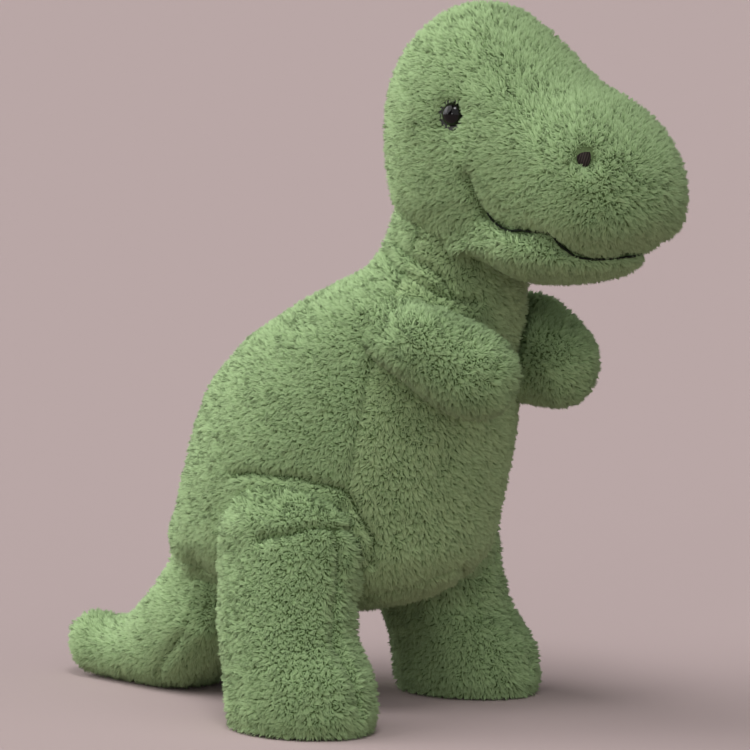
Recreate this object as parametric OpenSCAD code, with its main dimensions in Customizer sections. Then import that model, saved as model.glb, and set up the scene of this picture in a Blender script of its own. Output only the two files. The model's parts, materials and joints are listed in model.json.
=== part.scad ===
// Stuffed dinosaur: a plush toy that stands upright on two flat soles with its tail on the floor.
// Lengths are in millimetres. +X is the way the toy faces, +Y its left side, +Z up, the floor is z = 0.

/* [Cloth] */
// Thickness of the plush cloth, backing and pile together
skin = 3; // [2:0.5:4]
// Gap between the cloth and the stuffing, and round pieces that sit in the cloth
ease = 0.2; // [0.1:0.05:0.4]
// Gap at a seam where a sewn-on part flexes
clear = 0.8; // [0.7:0.1:1.5]

/* [Torso] */
// Width of the belly at its widest
belly_width = 116; // [90:1:150]
// Depth of the belly, front to back
belly_depth = 141; // [120:1:165]
// Height of the widest part of the belly
belly_height = 105; // [95:1:120]
// How far the belly's middle lies behind the hips
belly_back = 16; // [8:1:24]
// Height of the lowest point of the belly
seat_height = 40; // [25:1:55]
// Width of the chest
chest_width = 96; // [80:1:110]
// Depth of the chest, front to back
chest_depth = 114; // [95:1:130]
// Height of the chest
chest_height = 156; // [145:1:165]
// How far the chest's middle lies in front of the hips
chest_forward = 5; // [-5:1:15]
// Thickness of the neck
neck_width = 57; // [48:1:64]
// Height of the ball that the neck ends in
neck_height = 197; // [192:1:215]
// How far the neck's ball lies in front of the hips
neck_forward = 39; // [30:1:46]

/* [Head] */
// Length of the head, from the nape to the tip of the muzzle
head_length = 127; // [115:1:145]
// Width of the skull
skull_width = 76; // [68:1:90]
// Height of the skull above the neck's ball
skull_rise = 93; // [80:1:105]
// Width of the muzzle
muzzle_width = 78; // [70:1:92]
// Height of the top of the muzzle above the neck's ball
muzzle_rise = 58; // [50:1:64]
// How far the nape lies behind the neck's ball
nape_back = 28; // [26:1:34]
// How far the mouth lies below the neck's ball
mouth_drop = 4; // [0:1:8]
// How far the chin lies below the neck's ball
chin_drop = 20; // [17:1:24]
// How far the lower jaw stays behind the tip of the muzzle
overbite = 15; // [8:1:20]

/* [Face] */
// Diameter of an eye
eye_width = 10; // [7:0.5:14]
// How far the eyes lie in front of the neck's ball
eye_forward = 20; // [12:1:28]
// How far the eyes lie above the neck's ball
eye_rise = 49; // [42:1:58]
// Diameter of the shank behind an eye
shank_width = 4; // [3:0.5:5]
// Length of the shank behind an eye
shank_length = 12; // [10:1:16]
// Diameter of the washer that locks an eye
washer_width = 12; // [10:0.5:16]
// Thickness of that washer
washer_thickness = 1.6; // [1:0.2:2.4]
// Height of an embroidered nostril
nostril_height = 8; // [5:0.5:11]
// Width of an embroidered nostril
nostril_width = 5.5; // [4:0.5:8]
// Thickness of the embroidery
nostril_thickness = 1.2; // [0.8:0.1:1.8]
// How far the nostrils lie behind the tip of the muzzle
nostril_back = 17; // [14:1:24]
// How far the nostrils lie above the neck's ball
nostril_rise = 32; // [26:1:38]

/* [Arms] */
// Length of an arm from its seam to the middle of its paw
arm_length = 43; // [36:1:50]
// Thickness of an arm at its seam
arm_root_width = 34; // [28:1:38]
// Thickness of a paw
paw_width = 36; // [30:1:42]
// Height of the arm seams
shoulder_height = 163; // [156:1:168]
// Angle of the arm seams round the chest, from straight ahead
shoulder_angle = 68; // [58:1:75]
// How far an arm points below level
arm_droop = 29; // [20:1:38]
// How far an arm points inwards
arm_toe_in = 20; // [10:1:24]
// How far an arm flexes outwards
arm_out = 28; // [10:1:35]
// How far an arm flexes inwards
arm_in = 5; // [0:1:8]

/* [Legs] */
// Distance that a foot's middle stands out past the belly's side
foot_out = 0; // [-8:1:8]
// How far a thigh leans in from its foot
thigh_lean = 14; // [6:1:18]
// Length of a foot
foot_length = 67; // [58:1:76]
// Width of a foot
foot_width = 52; // [42:1:60]
// Depth of a leg at the ankle
ankle_depth = 60; // [54:1:70]
// Depth of a thigh
thigh_depth = 68; // [60:1:78]
// Width of a leg above the foot
leg_width = 49; // [42:1:56]
// Height of the top of a leg
leg_height = 108; // [100:1:118]
// Roundness of a foot's lower edge
foot_edge = 7; // [5:1:11]
// How far a leg flexes forwards
leg_forward = 12; // [5:1:15]
// How far a leg flexes backwards
leg_back = 8; // [4:1:10]
// Diameter of the pellet bag in a foot
bag_width = 30; // [20:1:34]
// Height of that pellet bag
bag_height = 16; // [10:1:24]

/* [Tail] */
// How far the tail reaches behind the hips
tail_reach = 163; // [140:1:190]
// Width of the tail where it leaves the body
tail_root_width = 84; // [70:1:96]
// Height of the tail where it leaves the body
tail_root_height = 77; // [60:1:84]
// Thickness of the tail's rounded end
tail_tip_width = 29; // [24:1:36]
// How far the tail flexes to each side
tail_swing = 10; // [5:1:12]

/* [Neck joint] */
// How far the head nods down
nod_down = 6; // [2:1:8]
// How far the head tips back
nod_up = 10; // [4:1:12]

/* [Hidden] */

// Facets round a form and rings along it, at the face of the cloth and inside it
torso_facets = [22, 15];
torso_core = [12, 8];
head_facets = [22, 15];
head_core = [12, 8];
limb_facets = [14, 9];
limb_core = [10, 6];
arm_facets = [14, 9];
arm_core = [8, 6];
round_fn = 32;
pocket_fn = 16;
core_room = 3;
beyond = 600;

plush = [0.45, 0.56, 0.36];
belly_plush = [0.42, 0.51, 0.33];
sole_plush = [0.40, 0.50, 0.31];
fibre = [0.93, 0.93, 0.90];
bag_cloth = [0.80, 0.78, 0.70];
eye_black = [0.03, 0.03, 0.03];
thread_brown = [0.16, 0.12, 0.12];

// Curves

function mix(a, b, t) = a + (b - a) * t;

// A round end: 0 at the pole, 1 from the end's own depth onwards
function dome(t) = t >= 1 ? 1 : t <= 0 ? 0 : sqrt(1 - (1 - t) * (1 - t));

// Rings crowd towards both ends of a form
function spread(t) = (1 - cos(180 * t)) / 2;

// A smooth curve through rows that start with their own place, read at one place
function row_slope(rows, k) =
    let (a = rows[max(k - 1, 0)], b = rows[min(k + 1, len(rows) - 1)]) (b - a) / (b[0] - a[0]);

function row_span(rows, at, k = 0) =
    k + 2 >= len(rows) || at <= rows[k + 1][0] ? k : row_span(rows, at, k + 1);

function row_at(rows, at) =
    let (
        k = row_span(rows, at),
        a = rows[k],
        b = rows[k + 1],
        w = b[0] - a[0],
        t = min(max((at - a[0]) / w, 0), 1)
    )
    a * (1 + 2 * t) * (1 - t) * (1 - t) + row_slope(rows, k) * w * t * (1 - t) * (1 - t)
        + b * t * t * (3 - 2 * t) - row_slope(rows, k + 1) * w * t * t * (1 - t);

// One side of a rounded square of half size 1: power 2 is a circle
function bulge(s, power) = sign(s) * pow(abs(s), 2 / power);

// Closed skin through rings of equal count, drawn to a point at each end.
// Rings that start on a plane of symmetry give facets that mirror each other across it
module loft(first, rings, last) {
    n = len(rings[0]);
    m = len(rings);
    end = 1 + m * n;
    polyhedron(
        points = concat([first], [for (r = rings) each r], [last]),
        faces = concat(
            [for (j = [0:n - 1]) [0, 1 + (j + 1) % n, 1 + j]],
            [for (i = [0:m - 2]) for (j = [0:n - 1])
                each let (a = 1 + i * n + j, b = 1 + i * n + (j + 1) % n)
                    j < n / 2 ? [[a, b, b + n], [a, b + n, a + n]] : [[a, b, a + n], [b, b + n, a + n]]],
            [for (j = [0:n - 1]) [end, end - n + j, end - n + (j + 1) % n]]
        )
    );
}

// One sewn piece, kept at the size it is drawn
module sewn() resize([0, 0, 0]) children();

module sided(side) if (side > 0) children(); else mirror([0, 1, 0]) children();

// The space a fixed neighbour takes up round a hinge, seen from the part that turns
module swept(pivot, axis, angles)
    for (a = angles) translate(pivot) rotate(a = -a, v = axis) translate(-pivot) children();

module left_half() translate([-beyond / 2, 0, -beyond / 2]) cube(beyond);

// Torso: level rings from the belly's lowest point to the top of the neck's ball

neck = [neck_forward, 0, neck_height];
neck_r = neck_width / 2;
torso_top = neck_height + neck_r;
torso_rows = [ // height, forward, half depth, half width
    [seat_height, -belly_back - 5, belly_depth * 0.45, belly_width * 0.44],
    [mix(seat_height, belly_height, 0.46), -belly_back - 8, belly_depth * 0.5, belly_width * 0.483],
    [belly_height, -belly_back, belly_depth / 2, belly_width / 2],
    [mix(belly_height, chest_height, 0.6), mix(-belly_back, chest_forward, 0.42),
        mix(belly_depth, chest_depth, 0.24) / 2, mix(belly_width, chest_width, 0.42) / 2],
    [chest_height, chest_forward, chest_depth / 2, chest_width / 2],
    [mix(chest_height, neck_height, 0.27), mix(chest_forward, neck_forward, 0.32),
        mix(chest_depth, neck_width, 0.29) / 2, mix(chest_width, neck_width, 0.29) / 2],
    [mix(chest_height, neck_height, 0.51), mix(chest_forward, neck_forward, 0.7),
        mix(chest_depth, neck_width, 0.72) / 2, mix(chest_width, neck_width, 0.58) / 2],
    [mix(chest_height, neck_height, 0.76), mix(chest_forward, neck_forward, 0.94), neck_r, neck_r + 1],
    [neck_height, neck_forward, neck_r, neck_r],
    [torso_top, neck_forward, neck_r, neck_r],
];
seat_dome = 31;

function torso_row(z, grow = 0) =
    let (
        row = row_at(torso_rows, z),
        f = dome((z - seat_height + grow) / (seat_dome + grow))
            * dome((torso_top + grow - z) / (neck_r + grow))
    )
    [row[1], f * (row[2] + grow), f * (row[3] + grow)];

function torso_point(z, angle, grow = 0) =
    let (r = torso_row(z, grow)) [r[0] + r[1] * cos(angle), r[2] * sin(angle), z];

module torso_form(grow = 0, facets = torso_facets) {
    low = seat_height - grow;
    high = torso_top + grow;
    loft(
        [torso_row(low)[0], 0, low],
        [for (i = [1:facets[1]]) let (z = mix(low, high, spread(i / (facets[1] + 1))))
            [for (j = [0:facets[0] - 1]) torso_point(z, -360 * j / facets[0], grow)]],
        [neck_forward, 0, high]
    );
}

// Tail: upright rings from inside the body to a rounded, slightly lifted end, flat where it lies down

tail_r = tail_tip_width / 2;
tail_start = belly_back + belly_depth * 0.25;
tail_pivot = [-belly_back - belly_depth * 0.31, 0, 0];
tail_press = 0.5;
tail_dome = tail_r * 1.1;
tail_power = 2.6;

function tail_station(share, height, width) =
    [mix(tail_start, tail_reach, share), height / 2 - tail_press, height / 2, width / 2];

function tail_height(share) = mix(tail_root_height, tail_tip_width, share);

function tail_width(share) = mix(tail_root_width, tail_tip_width, share);

tail_rows = [ // reach behind the hips, middle height, half height, half width
    [tail_start, seat_height + tail_root_height * 0.36, tail_root_height / 2, tail_root_width / 2],
    tail_station(0.36, tail_height(0.2), tail_width(0.4)),
    tail_station(0.6, tail_height(0.86), tail_width(0.72)),
    tail_station(0.75, tail_tip_width * 0.9, tail_tip_width * 1.1),
    [mix(tail_start, tail_reach, 0.88), tail_r, tail_r * 0.98, tail_r * 1.08],
    [tail_reach, tail_r * 1.1, tail_r, tail_r],
];

function tail_ring(reach, grow, sides) =
    let (
        row = row_at(tail_rows, reach),
        f = dome((tail_reach + grow - reach) / (tail_dome + grow))
            * dome((reach - tail_start + grow + 1) / tail_r)
    )
    [for (j = [0:sides - 1]) let (a = 90 + 360 * j / sides, power = sin(a) < 0 ? tail_power : 2) [
        -reach,
        f * (row[3] + grow) * bulge(cos(a), power),
        row[1] + f * (row[2] + grow) * bulge(sin(a), power),
    ]];

module tail_form(grow = 0, facets = limb_facets) {
    first = tail_start - grow;
    last = tail_reach + grow;
    loft(
        [-first, 0, tail_rows[0][1]],
        [for (i = [1:facets[1]]) tail_ring(mix(first, last, spread(i / (facets[1] + 1))), grow, facets[0])],
        [-last, 0, row_at(tail_rows, tail_reach)[1]]
    );
}

// Head: upright rings from the nape to the tip of the muzzle, squarer below towards the lips

head_back = neck_forward - nape_back;
head_front = head_back + head_length;
skull_top = neck_height + skull_rise;
muzzle_top = neck_height + muzzle_rise;
lip_z = neck_height - mouth_drop;
chin_z = neck_height - chin_drop;
nape_dome = 36;
muzzle_dome = 33;
lip_power = 3.6;

function head_station(share, top, bottom, width, power) =
    [head_back + head_length * share, (top + bottom) / 2, (top - bottom) / 2, width / 2, power];

head_rows = [ // forward, middle height, half height, half width, squareness below
    head_station(0, skull_top - 1, lip_z, skull_width, 2),
    head_station(0.15, skull_top - 2, lip_z, skull_width, 2),
    head_station(0.31, skull_top, lip_z, skull_width, 2),
    head_station(0.42, skull_top - 3, lip_z, skull_width, 2.2),
    head_station(0.54, mix(skull_top, muzzle_top, 0.42), lip_z, mix(skull_width, muzzle_width, 0.5), 2.7),
    head_station(0.65, mix(skull_top, muzzle_top, 0.82), lip_z, muzzle_width, 3.2),
    head_station(0.77, muzzle_top, lip_z, muzzle_width, lip_power),
    head_station(1, muzzle_top - 12, lip_z - 8, muzzle_width, lip_power),
];

function head_row(x, grow = 0) =
    let (
        row = row_at(head_rows, x),
        f = dome((x - head_back + grow) / (nape_dome + grow))
            * dome((head_front + grow - x) / (muzzle_dome + grow))
    )
    [row[1], f * (row[2] + grow), f * (row[3] + grow), row[4]];

function head_point(x, angle, grow = 0) =
    let (r = head_row(x, grow), power = sin(angle) < 0 ? r[3] : 2)
    [x, r[2] * bulge(cos(angle), power), r[0] + r[1] * bulge(sin(angle), power)];

module head_form(grow = 0, facets = head_facets) {
    low = head_back - grow;
    high = head_front + grow;
    loft(
        [low, 0, head_rows[0][1]],
        [for (i = [1:facets[1]]) let (x = mix(low, high, spread(i / (facets[1] + 1))))
            [for (j = [0:facets[0] - 1]) head_point(x, 90 - 360 * j / facets[0], grow)]],
        [high, 0, row_at(head_rows, head_front)[1]]
    );
}

// Lower jaw: a padded lip under the muzzle that rises towards the cheeks

jaw_back = neck_forward + 2;
jaw_front = head_front - overbite;
jaw_dome = 34;
jaw_heel = 14;
jaw_power = 2.4;
jaw_rows = [ // forward, middle height, half height, half width
    [jaw_back, mix(chin_z, lip_z, 1.3), (lip_z - chin_z) * 1.25, skull_width * 0.42],
    [mix(jaw_back, jaw_front, 0.3), mix(chin_z, lip_z, 1.2), (lip_z - chin_z) * 1.2, skull_width * 0.475],
    [mix(jaw_back, jaw_front, 0.55), mix(chin_z, lip_z, 1), lip_z - chin_z, muzzle_width * 0.475],
    [mix(jaw_back, jaw_front, 0.78), mix(chin_z, lip_z, 0.88), (lip_z - chin_z) * 0.88, muzzle_width * 0.465],
    [jaw_front, mix(chin_z, lip_z, 0.84), (lip_z - chin_z) * 0.84, muzzle_width * 0.46],
];

function jaw_ring(x, grow, sides) =
    let (
        row = row_at(jaw_rows, x),
        f = dome((jaw_front + grow - x) / (jaw_dome + grow)) * dome((x - jaw_back + grow) / jaw_heel)
    )
    [for (j = [0:sides - 1]) let (a = 90 - 360 * j / sides) [
        x,
        f * (row[3] + grow) * bulge(cos(a), jaw_power),
        row[1] + f * (row[2] + grow) * bulge(sin(a), jaw_power),
    ]];

module jaw_form(grow = 0, facets = limb_facets) {
    low = jaw_back - grow;
    high = jaw_front + grow;
    loft(
        [low, 0, jaw_rows[0][1]],
        [for (i = [1:facets[1]]) jaw_ring(mix(low, high, spread(i / (facets[1] + 1))), grow, facets[0])],
        [high, 0, row_at(jaw_rows, jaw_front)[1]]
    );
}

// Arm: rings along a straight line from a seam on the chest to a rounded paw

arm_sink = 12;
arm_heel = 8;
shoulder = torso_point(shoulder_height, shoulder_angle);
arm_way = [cos(arm_droop) * cos(arm_toe_in), -cos(arm_droop) * sin(arm_toe_in), -sin(arm_droop)];
arm_up = [sin(arm_droop), 0, cos(arm_droop)];
arm_side = cross(arm_up, arm_way) / norm(cross(arm_up, arm_way));
arm_root_r = arm_root_width / 2;
paw_r = paw_width / 2;
arm_reach = arm_length + paw_r;
arm_rows = [ // distance along the arm, radius
    [-arm_sink, arm_root_r * 0.94],
    [arm_length * 0.3, arm_root_r],
    [arm_length * 0.8, paw_r],
    [arm_reach, paw_r * 0.94],
];

function arm_ring(along, grow, sides) =
    let (
        f = dome((arm_reach + grow - along) / (paw_r + grow)) * dome((along + arm_sink + grow) / arm_heel),
        r = f * (row_at(arm_rows, along)[1] + grow)
    )
    [for (j = [0:sides - 1]) let (a = -360 * j / sides)
        shoulder + along * arm_way + r * (cos(a) * arm_side + sin(a) * cross(arm_way, arm_side))];

module arm_form(grow = 0, facets = arm_facets) {
    low = -arm_sink - grow;
    high = arm_reach + grow;
    loft(
        shoulder + low * arm_way,
        [for (i = [1:facets[1]]) arm_ring(mix(low, high, spread(i / (facets[1] + 1))), grow, facets[0])],
        shoulder + high * arm_way
    );
}

// Leg: level rings from the sole to a rounded thigh that is sewn to the side of the body

foot_y = belly_width / 2 + foot_out;
hip = [-belly_back + 5, 0, belly_height - 5];
thigh_dome = 30;
leg_rows = [ // height, forward, half depth, half width, share of the thigh's lean
    [0, 2, foot_length / 2, foot_width / 2, 0],
    [leg_height * 0.17, 2, foot_length / 2, foot_width / 2, 0.05],
    [leg_height * 0.38, -8, ankle_depth / 2, leg_width / 2, 0.3],
    [leg_height * 0.71, -10, thigh_depth / 2, leg_width / 2, 0.95],
    [leg_height, -12, thigh_depth / 2, leg_width / 2, 1.15],
];

function leg_edge(z, grow) = (foot_edge + grow) * (1 - dome((z + grow) / (foot_edge + grow)));

function leg_outline(z, grow, sides) =
    let (
        row = row_at(leg_rows, z),
        f = dome((leg_height + grow - z) / (thigh_dome + grow)),
        edge = leg_edge(z, grow)
    )
    [for (j = [0:sides - 1]) let (a = -360 * j / sides) [
        row[1] + (f * (row[2] + grow) - edge) * cos(a),
        foot_y - thigh_lean * row[4] + (f * (row[3] + grow) - edge) * sin(a),
    ]];

function leg_ring(z, grow, sides) = [for (p = leg_outline(z, grow, sides)) [p[0], p[1], z]];

module leg_form(grow = 0, facets = limb_facets) {
    low = -grow;
    high = leg_height + grow;
    top_row = row_at(leg_rows, leg_height);
    loft(
        [leg_rows[0][1], foot_y, low],
        [for (i = [0:facets[1]]) leg_ring(mix(low, high, spread(i / (facets[1] + 1))), grow, facets[0])],
        [top_row[1], foot_y - thigh_lean * top_row[4], high]
    );
}

// Where the parts flex

leg_angles = [for (k = [0:3]) mix(-leg_forward, leg_back, k / 3)];
arm_angles = [-arm_in, 0, arm_out];
tail_angles = [-tail_swing, 0, tail_swing];
neck_lean_room = 4;
neck_flare = neck_r * tan(max(nod_up, nod_down)) + neck_lean_room;

// The neck's ball keeps its place as the head nods, and the neck below it needs room to each side
module neck_room() translate(neck) {
    sphere(r = (neck_r + clear) / pow(cos(180 / round_fn), 2), $fn = round_fn);
    translate([0, 0, -neck_r])
        cylinder(r1 = neck_r + clear + neck_flare, r2 = neck_r + clear, h = neck_r, $fn = round_fn);
}

module arm_room(grow, facets = torso_facets)
    swept(shoulder, arm_up, arm_angles) torso_form(grow, facets);

module tail_room(grow, facets = torso_facets)
    swept(tail_pivot, [0, 0, 1], tail_angles) torso_form(grow, facets);

module leg_room() swept(hip, [0, 1, 0], leg_angles) {
    torso_form(clear);
    tail_form(clear);
}

// Everything stands with the middle of its length over the origin

mid_length = (head_front - tail_reach) / 2;
module toy() translate([-mid_length, 0, 0]) children();

// Body cloth: two sides that run from the neck to the tail, and a belly between them

belly_seam_lean = 11;
module belly_side()
    translate([torso_point(belly_height, 60)[0], -beyond / 2, belly_height]) rotate([0, belly_seam_lean, 0])
        translate([0, 0, -beyond / 2]) cube(beyond);

module torso_cloth() difference() {
    torso_form();
    torso_form(-skin, torso_core);
}

module body_panel(side) color(plush) toy() sewn() sided(side) difference() {
    intersection() {
        torso_cloth();
        left_half();
    }
    belly_side();
}

module belly_panel() color(belly_plush) toy() sewn() intersection() {
    torso_cloth();
    belly_side();
}

module body_stuffing() color(fibre) toy() torso_form(-skin - ease, torso_core);

// Tail

module above(z) translate([-beyond / 2, -beyond / 2, z]) cube(beyond);

module tail_panel(side) color(plush) toy() sewn() sided(side) difference() {
    intersection() {
        tail_form();
        left_half();
        above(0);
    }
    tail_form(-skin, limb_core);
    tail_room(clear);
}

module tail_stuffing() color(fibre) toy() sewn() difference() {
    tail_form(-skin - ease, limb_core);
    tail_room(clear + 2 * core_room, torso_core);
}

// Face pieces, each standing square to the head where it sits

function head_spot(x, z) =
    let (r = head_row(x), s = min(max((z - r[0]) / r[1], -1), 1), power = s < 0 ? r[3] : 2)
    [x, r[2] * pow(1 - pow(abs(s), power), 1 / power), z];

function head_normal(x, z) =
    let (
        p = head_spot(x, z),
        n = cross(head_spot(x, z + 1) - p, head_spot(x + 1, z) - p)
    )
    n / norm(n);

module at_face(x, z) {
    n = head_normal(x, z);
    translate(head_spot(x, z)) rotate([0, acos(n[2]), atan2(n[1], n[0])]) children();
}

module at_eye() at_face(neck_forward + eye_forward, neck_height + eye_rise) children();
module at_nostril() at_face(head_front - nostril_back, neck_height + nostril_rise) children();

eye_seat = skin * 0.6;
eye_rise_share = 0.55;
module eye(side) color(eye_black) toy() sided(side) at_eye() translate([0, 0, -eye_seat]) {
    intersection() {
        translate([0, 0, eye_width * (eye_rise_share - 0.5)]) sphere(d = eye_width, $fn = round_fn);
        cylinder(d = eye_width, h = eye_width, $fn = round_fn);
    }
    translate([0, 0, -shank_length]) cylinder(d = shank_width, h = shank_length + 1, $fn = round_fn);
}

washer_fit = 0.05;
module eye_washer(side) color(eye_black) toy() sided(side) at_eye()
    translate([0, 0, -skin - ease - washer_thickness]) difference() {
        cylinder(d = washer_width, h = washer_thickness, $fn = round_fn);
        translate([0, 0, -washer_thickness])
            cylinder(d = shank_width + 2 * washer_fit, h = 3 * washer_thickness, $fn = round_fn);
    }

module washer_pocket() at_eye()
    translate([0, 0, -eye_seat - shank_length - ease])
        cylinder(d = washer_width + 4 * ease, h = shank_length + eye_seat + ease - skin, $fn = pocket_fn);

module eye_pocket() {
    at_eye() translate([0, 0, -eye_seat - ease])
        cylinder(d = eye_width + 2 * ease, h = eye_width, $fn = pocket_fn);
    at_eye() translate([0, 0, -2 * skin])
        cylinder(d = shank_width + 4 * ease, h = 2 * skin, $fn = pocket_fn);
    washer_pocket();
}

module nostril_outline(grow)
    scale([nostril_height + 2 * grow, nostril_width + 2 * grow]) circle(d = 1, $fn = round_fn);

module nostril(side) color(thread_brown) toy() sided(side) at_nostril()
    translate([0, 0, -nostril_thickness]) linear_extrude(nostril_thickness) nostril_outline(0);

module nostril_pocket() at_nostril()
    translate([0, 0, -nostril_thickness - ease]) linear_extrude(skin * 2) nostril_outline(ease);

// Head cloth and stuffing

module head_panel(side) color(plush) toy() sewn() sided(side) difference() {
    intersection() {
        head_form();
        left_half();
    }
    head_form(-skin, head_core);
    neck_room();
    eye_pocket();
    nostril_pocket();
}

module head_stuffing() color(fibre) toy() sewn() difference() {
    head_form(-skin - ease, head_core);
    neck_room();
    for (side = [-1, 1]) sided(side) washer_pocket();
}

module jaw_panel() color(plush) toy() sewn() difference() {
    jaw_form();
    jaw_form(-skin, limb_core);
    head_form(ease);
    neck_room();
}

module jaw_stuffing() color(fibre) toy() sewn() difference() {
    jaw_form(-skin - ease, limb_core);
    head_form(ease);
    neck_room();
}

// Arms: each is two panels, sewn along the top and bottom

module arm_outside() translate(shoulder) multmatrix([
    [arm_way[0], arm_side[0], arm_up[0], 0],
    [arm_way[1], arm_side[1], arm_up[1], 0],
    [arm_way[2], arm_side[2], arm_up[2], 0],
]) left_half();

module arm_cloth() difference() {
    arm_form();
    arm_form(-skin, arm_core);
    arm_room(clear);
}

module arm_outer_panel(side) color(plush) toy() sewn() sided(side) intersection() {
    arm_cloth();
    arm_outside();
}

module arm_inner_panel(side) color(plush) toy() sewn() sided(side) difference() {
    arm_cloth();
    arm_outside();
}

module arm_stuffing(side) color(fibre) toy() sewn() sided(side) difference() {
    arm_form(-skin - ease, arm_core);
    arm_room(clear + core_room, torso_core);
}

// Legs: each is two panels that meet at the front and back, on a flat sole with a pellet bag above it

leg_seam_out = 4;
leg_seam_lean = 6;
module leg_outside()
    translate([0, foot_y + leg_seam_out, 0]) rotate([leg_seam_lean, 0, 0]) left_half();

module leg_cloth() difference() {
    intersection() {
        leg_form();
        above(skin);
    }
    leg_form(-skin, limb_core);
    leg_room();
}

module leg_outer_panel(side) color(plush) toy() sewn() sided(side) intersection() {
    leg_cloth();
    leg_outside();
}

module leg_inner_panel(side) color(plush) toy() sewn() sided(side) difference() {
    leg_cloth();
    leg_outside();
}

module sole(side) color(sole_plush) toy() sided(side)
    linear_extrude(skin) polygon(leg_outline(skin / 2, 0, round_fn));

bag_floor = skin + ease;
module bag_shape(grow) translate([leg_rows[0][1], foot_y, bag_floor - grow])
    cylinder(d = bag_width + 2 * grow, h = bag_height + 2 * grow, $fn = round_fn);

module pellet_bag(side) color(bag_cloth) toy() sided(side) bag_shape(0);

module leg_stuffing(side) color(fibre) toy() sewn() sided(side) difference() {
    leg_form(-skin - ease, limb_core);
    torso_form(clear + 2 * core_room, torso_core);
    tail_form(clear + core_room);
    bag_shape(ease);
}

body_panel(1);  // body_panel_left
body_panel(-1);  // body_panel_right
belly_panel();
body_stuffing();
tail_panel(1);  // tail_panel_left
tail_panel(-1);  // tail_panel_right
tail_stuffing();
head_panel(1);  // head_panel_left
head_panel(-1);  // head_panel_right
head_stuffing();
jaw_panel();
jaw_stuffing();
eye(1);  // eye_left
eye(-1);  // eye_right
eye_washer(1);  // eye_washer_left
eye_washer(-1);  // eye_washer_right
nostril(1);  // nostril_left
nostril(-1);  // nostril_right
arm_outer_panel(1);  // arm_outer_panel_left
arm_inner_panel(1);  // arm_inner_panel_left
arm_stuffing(1);  // arm_stuffing_left
arm_outer_panel(-1);  // arm_outer_panel_right
arm_inner_panel(-1);  // arm_inner_panel_right
arm_stuffing(-1);  // arm_stuffing_right
leg_outer_panel(1);  // leg_outer_panel_left
leg_inner_panel(1);  // leg_inner_panel_left
sole(1);  // sole_left
leg_stuffing(1);  // leg_stuffing_left
pellet_bag(1);  // pellet_bag_left
leg_outer_panel(-1);  // leg_outer_panel_right
leg_inner_panel(-1);  // leg_inner_panel_right
sole(-1);  // sole_right
leg_stuffing(-1);  // leg_stuffing_right
pellet_bag(-1);  // pellet_bag_right
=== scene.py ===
"""A stuffed dinosaur in short plush pile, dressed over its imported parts."""

import json
from math import radians, tau

import bmesh
import bpy
import numpy as np
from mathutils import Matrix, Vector
from mathutils.bvhtree import BVHTree
from mathutils.kdtree import KDTree


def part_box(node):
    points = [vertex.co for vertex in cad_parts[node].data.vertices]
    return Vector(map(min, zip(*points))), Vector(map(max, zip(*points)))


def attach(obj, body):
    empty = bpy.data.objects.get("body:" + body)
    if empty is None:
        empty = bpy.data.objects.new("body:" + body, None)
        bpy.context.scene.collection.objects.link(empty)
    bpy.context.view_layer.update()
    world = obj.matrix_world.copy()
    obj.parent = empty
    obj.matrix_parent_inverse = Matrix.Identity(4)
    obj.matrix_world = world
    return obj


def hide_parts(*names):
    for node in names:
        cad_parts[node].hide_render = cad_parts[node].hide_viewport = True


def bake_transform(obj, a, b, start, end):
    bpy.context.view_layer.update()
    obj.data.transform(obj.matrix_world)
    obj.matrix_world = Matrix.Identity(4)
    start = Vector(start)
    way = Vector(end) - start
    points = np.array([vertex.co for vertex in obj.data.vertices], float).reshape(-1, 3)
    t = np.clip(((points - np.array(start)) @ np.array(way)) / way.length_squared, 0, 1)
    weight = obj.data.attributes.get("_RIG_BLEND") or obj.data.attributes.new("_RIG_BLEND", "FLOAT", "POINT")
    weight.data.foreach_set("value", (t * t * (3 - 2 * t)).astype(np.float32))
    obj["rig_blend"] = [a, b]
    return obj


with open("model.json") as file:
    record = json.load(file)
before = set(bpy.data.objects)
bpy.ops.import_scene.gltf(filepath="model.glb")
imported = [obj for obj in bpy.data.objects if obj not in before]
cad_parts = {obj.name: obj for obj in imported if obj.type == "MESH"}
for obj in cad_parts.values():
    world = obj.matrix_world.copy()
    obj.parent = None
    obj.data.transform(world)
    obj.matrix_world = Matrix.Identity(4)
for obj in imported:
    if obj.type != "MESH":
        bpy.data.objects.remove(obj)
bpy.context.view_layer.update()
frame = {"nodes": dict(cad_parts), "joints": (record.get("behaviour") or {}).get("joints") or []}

bl_info = {
    "name": "Stuffed dinosaur",
    "version": (1, 0, 0),
    "blender": (4, 5, 0),
    "location": "View3D > Sidebar > Dinosaur",
    "description": "Dresses the packed parts of a stuffed dinosaur in plush",
    "category": "Object",
}

MM = 0.001
# Ways to look from a point to tell whether a surface closes round it
PROBES = (Vector((0.31, 0.22, 0.92)), Vector((-0.79, 0.51, 0.34)), Vector((0.41, -0.86, -0.31)))
SIDES = {"left": 1, "right": -1}
PIVOTS = {joint["name"]: np.array(joint["pos_m"]) for joint in frame["joints"]}
NECK = PIVOTS["head_nod"]
HIP = PIVOTS["leg_swing_left"]
SHOULDER = PIVOTS["arm_flap_left"]
TAIL_ROOT = PIVOTS["tail_wag"]
# The joint that each kind of body bends at, on the left where there are two
JOINTS = {"torso": NECK, "head": NECK, "tail": TAIL_ROOT, "arm": SHOULDER, "leg": HIP}


def soft_body(inside, **coats):
    """A soft body: its coats of pile, with the panels under them, and the nodes inside."""
    return {"coats": coats, "inside": inside}


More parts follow.
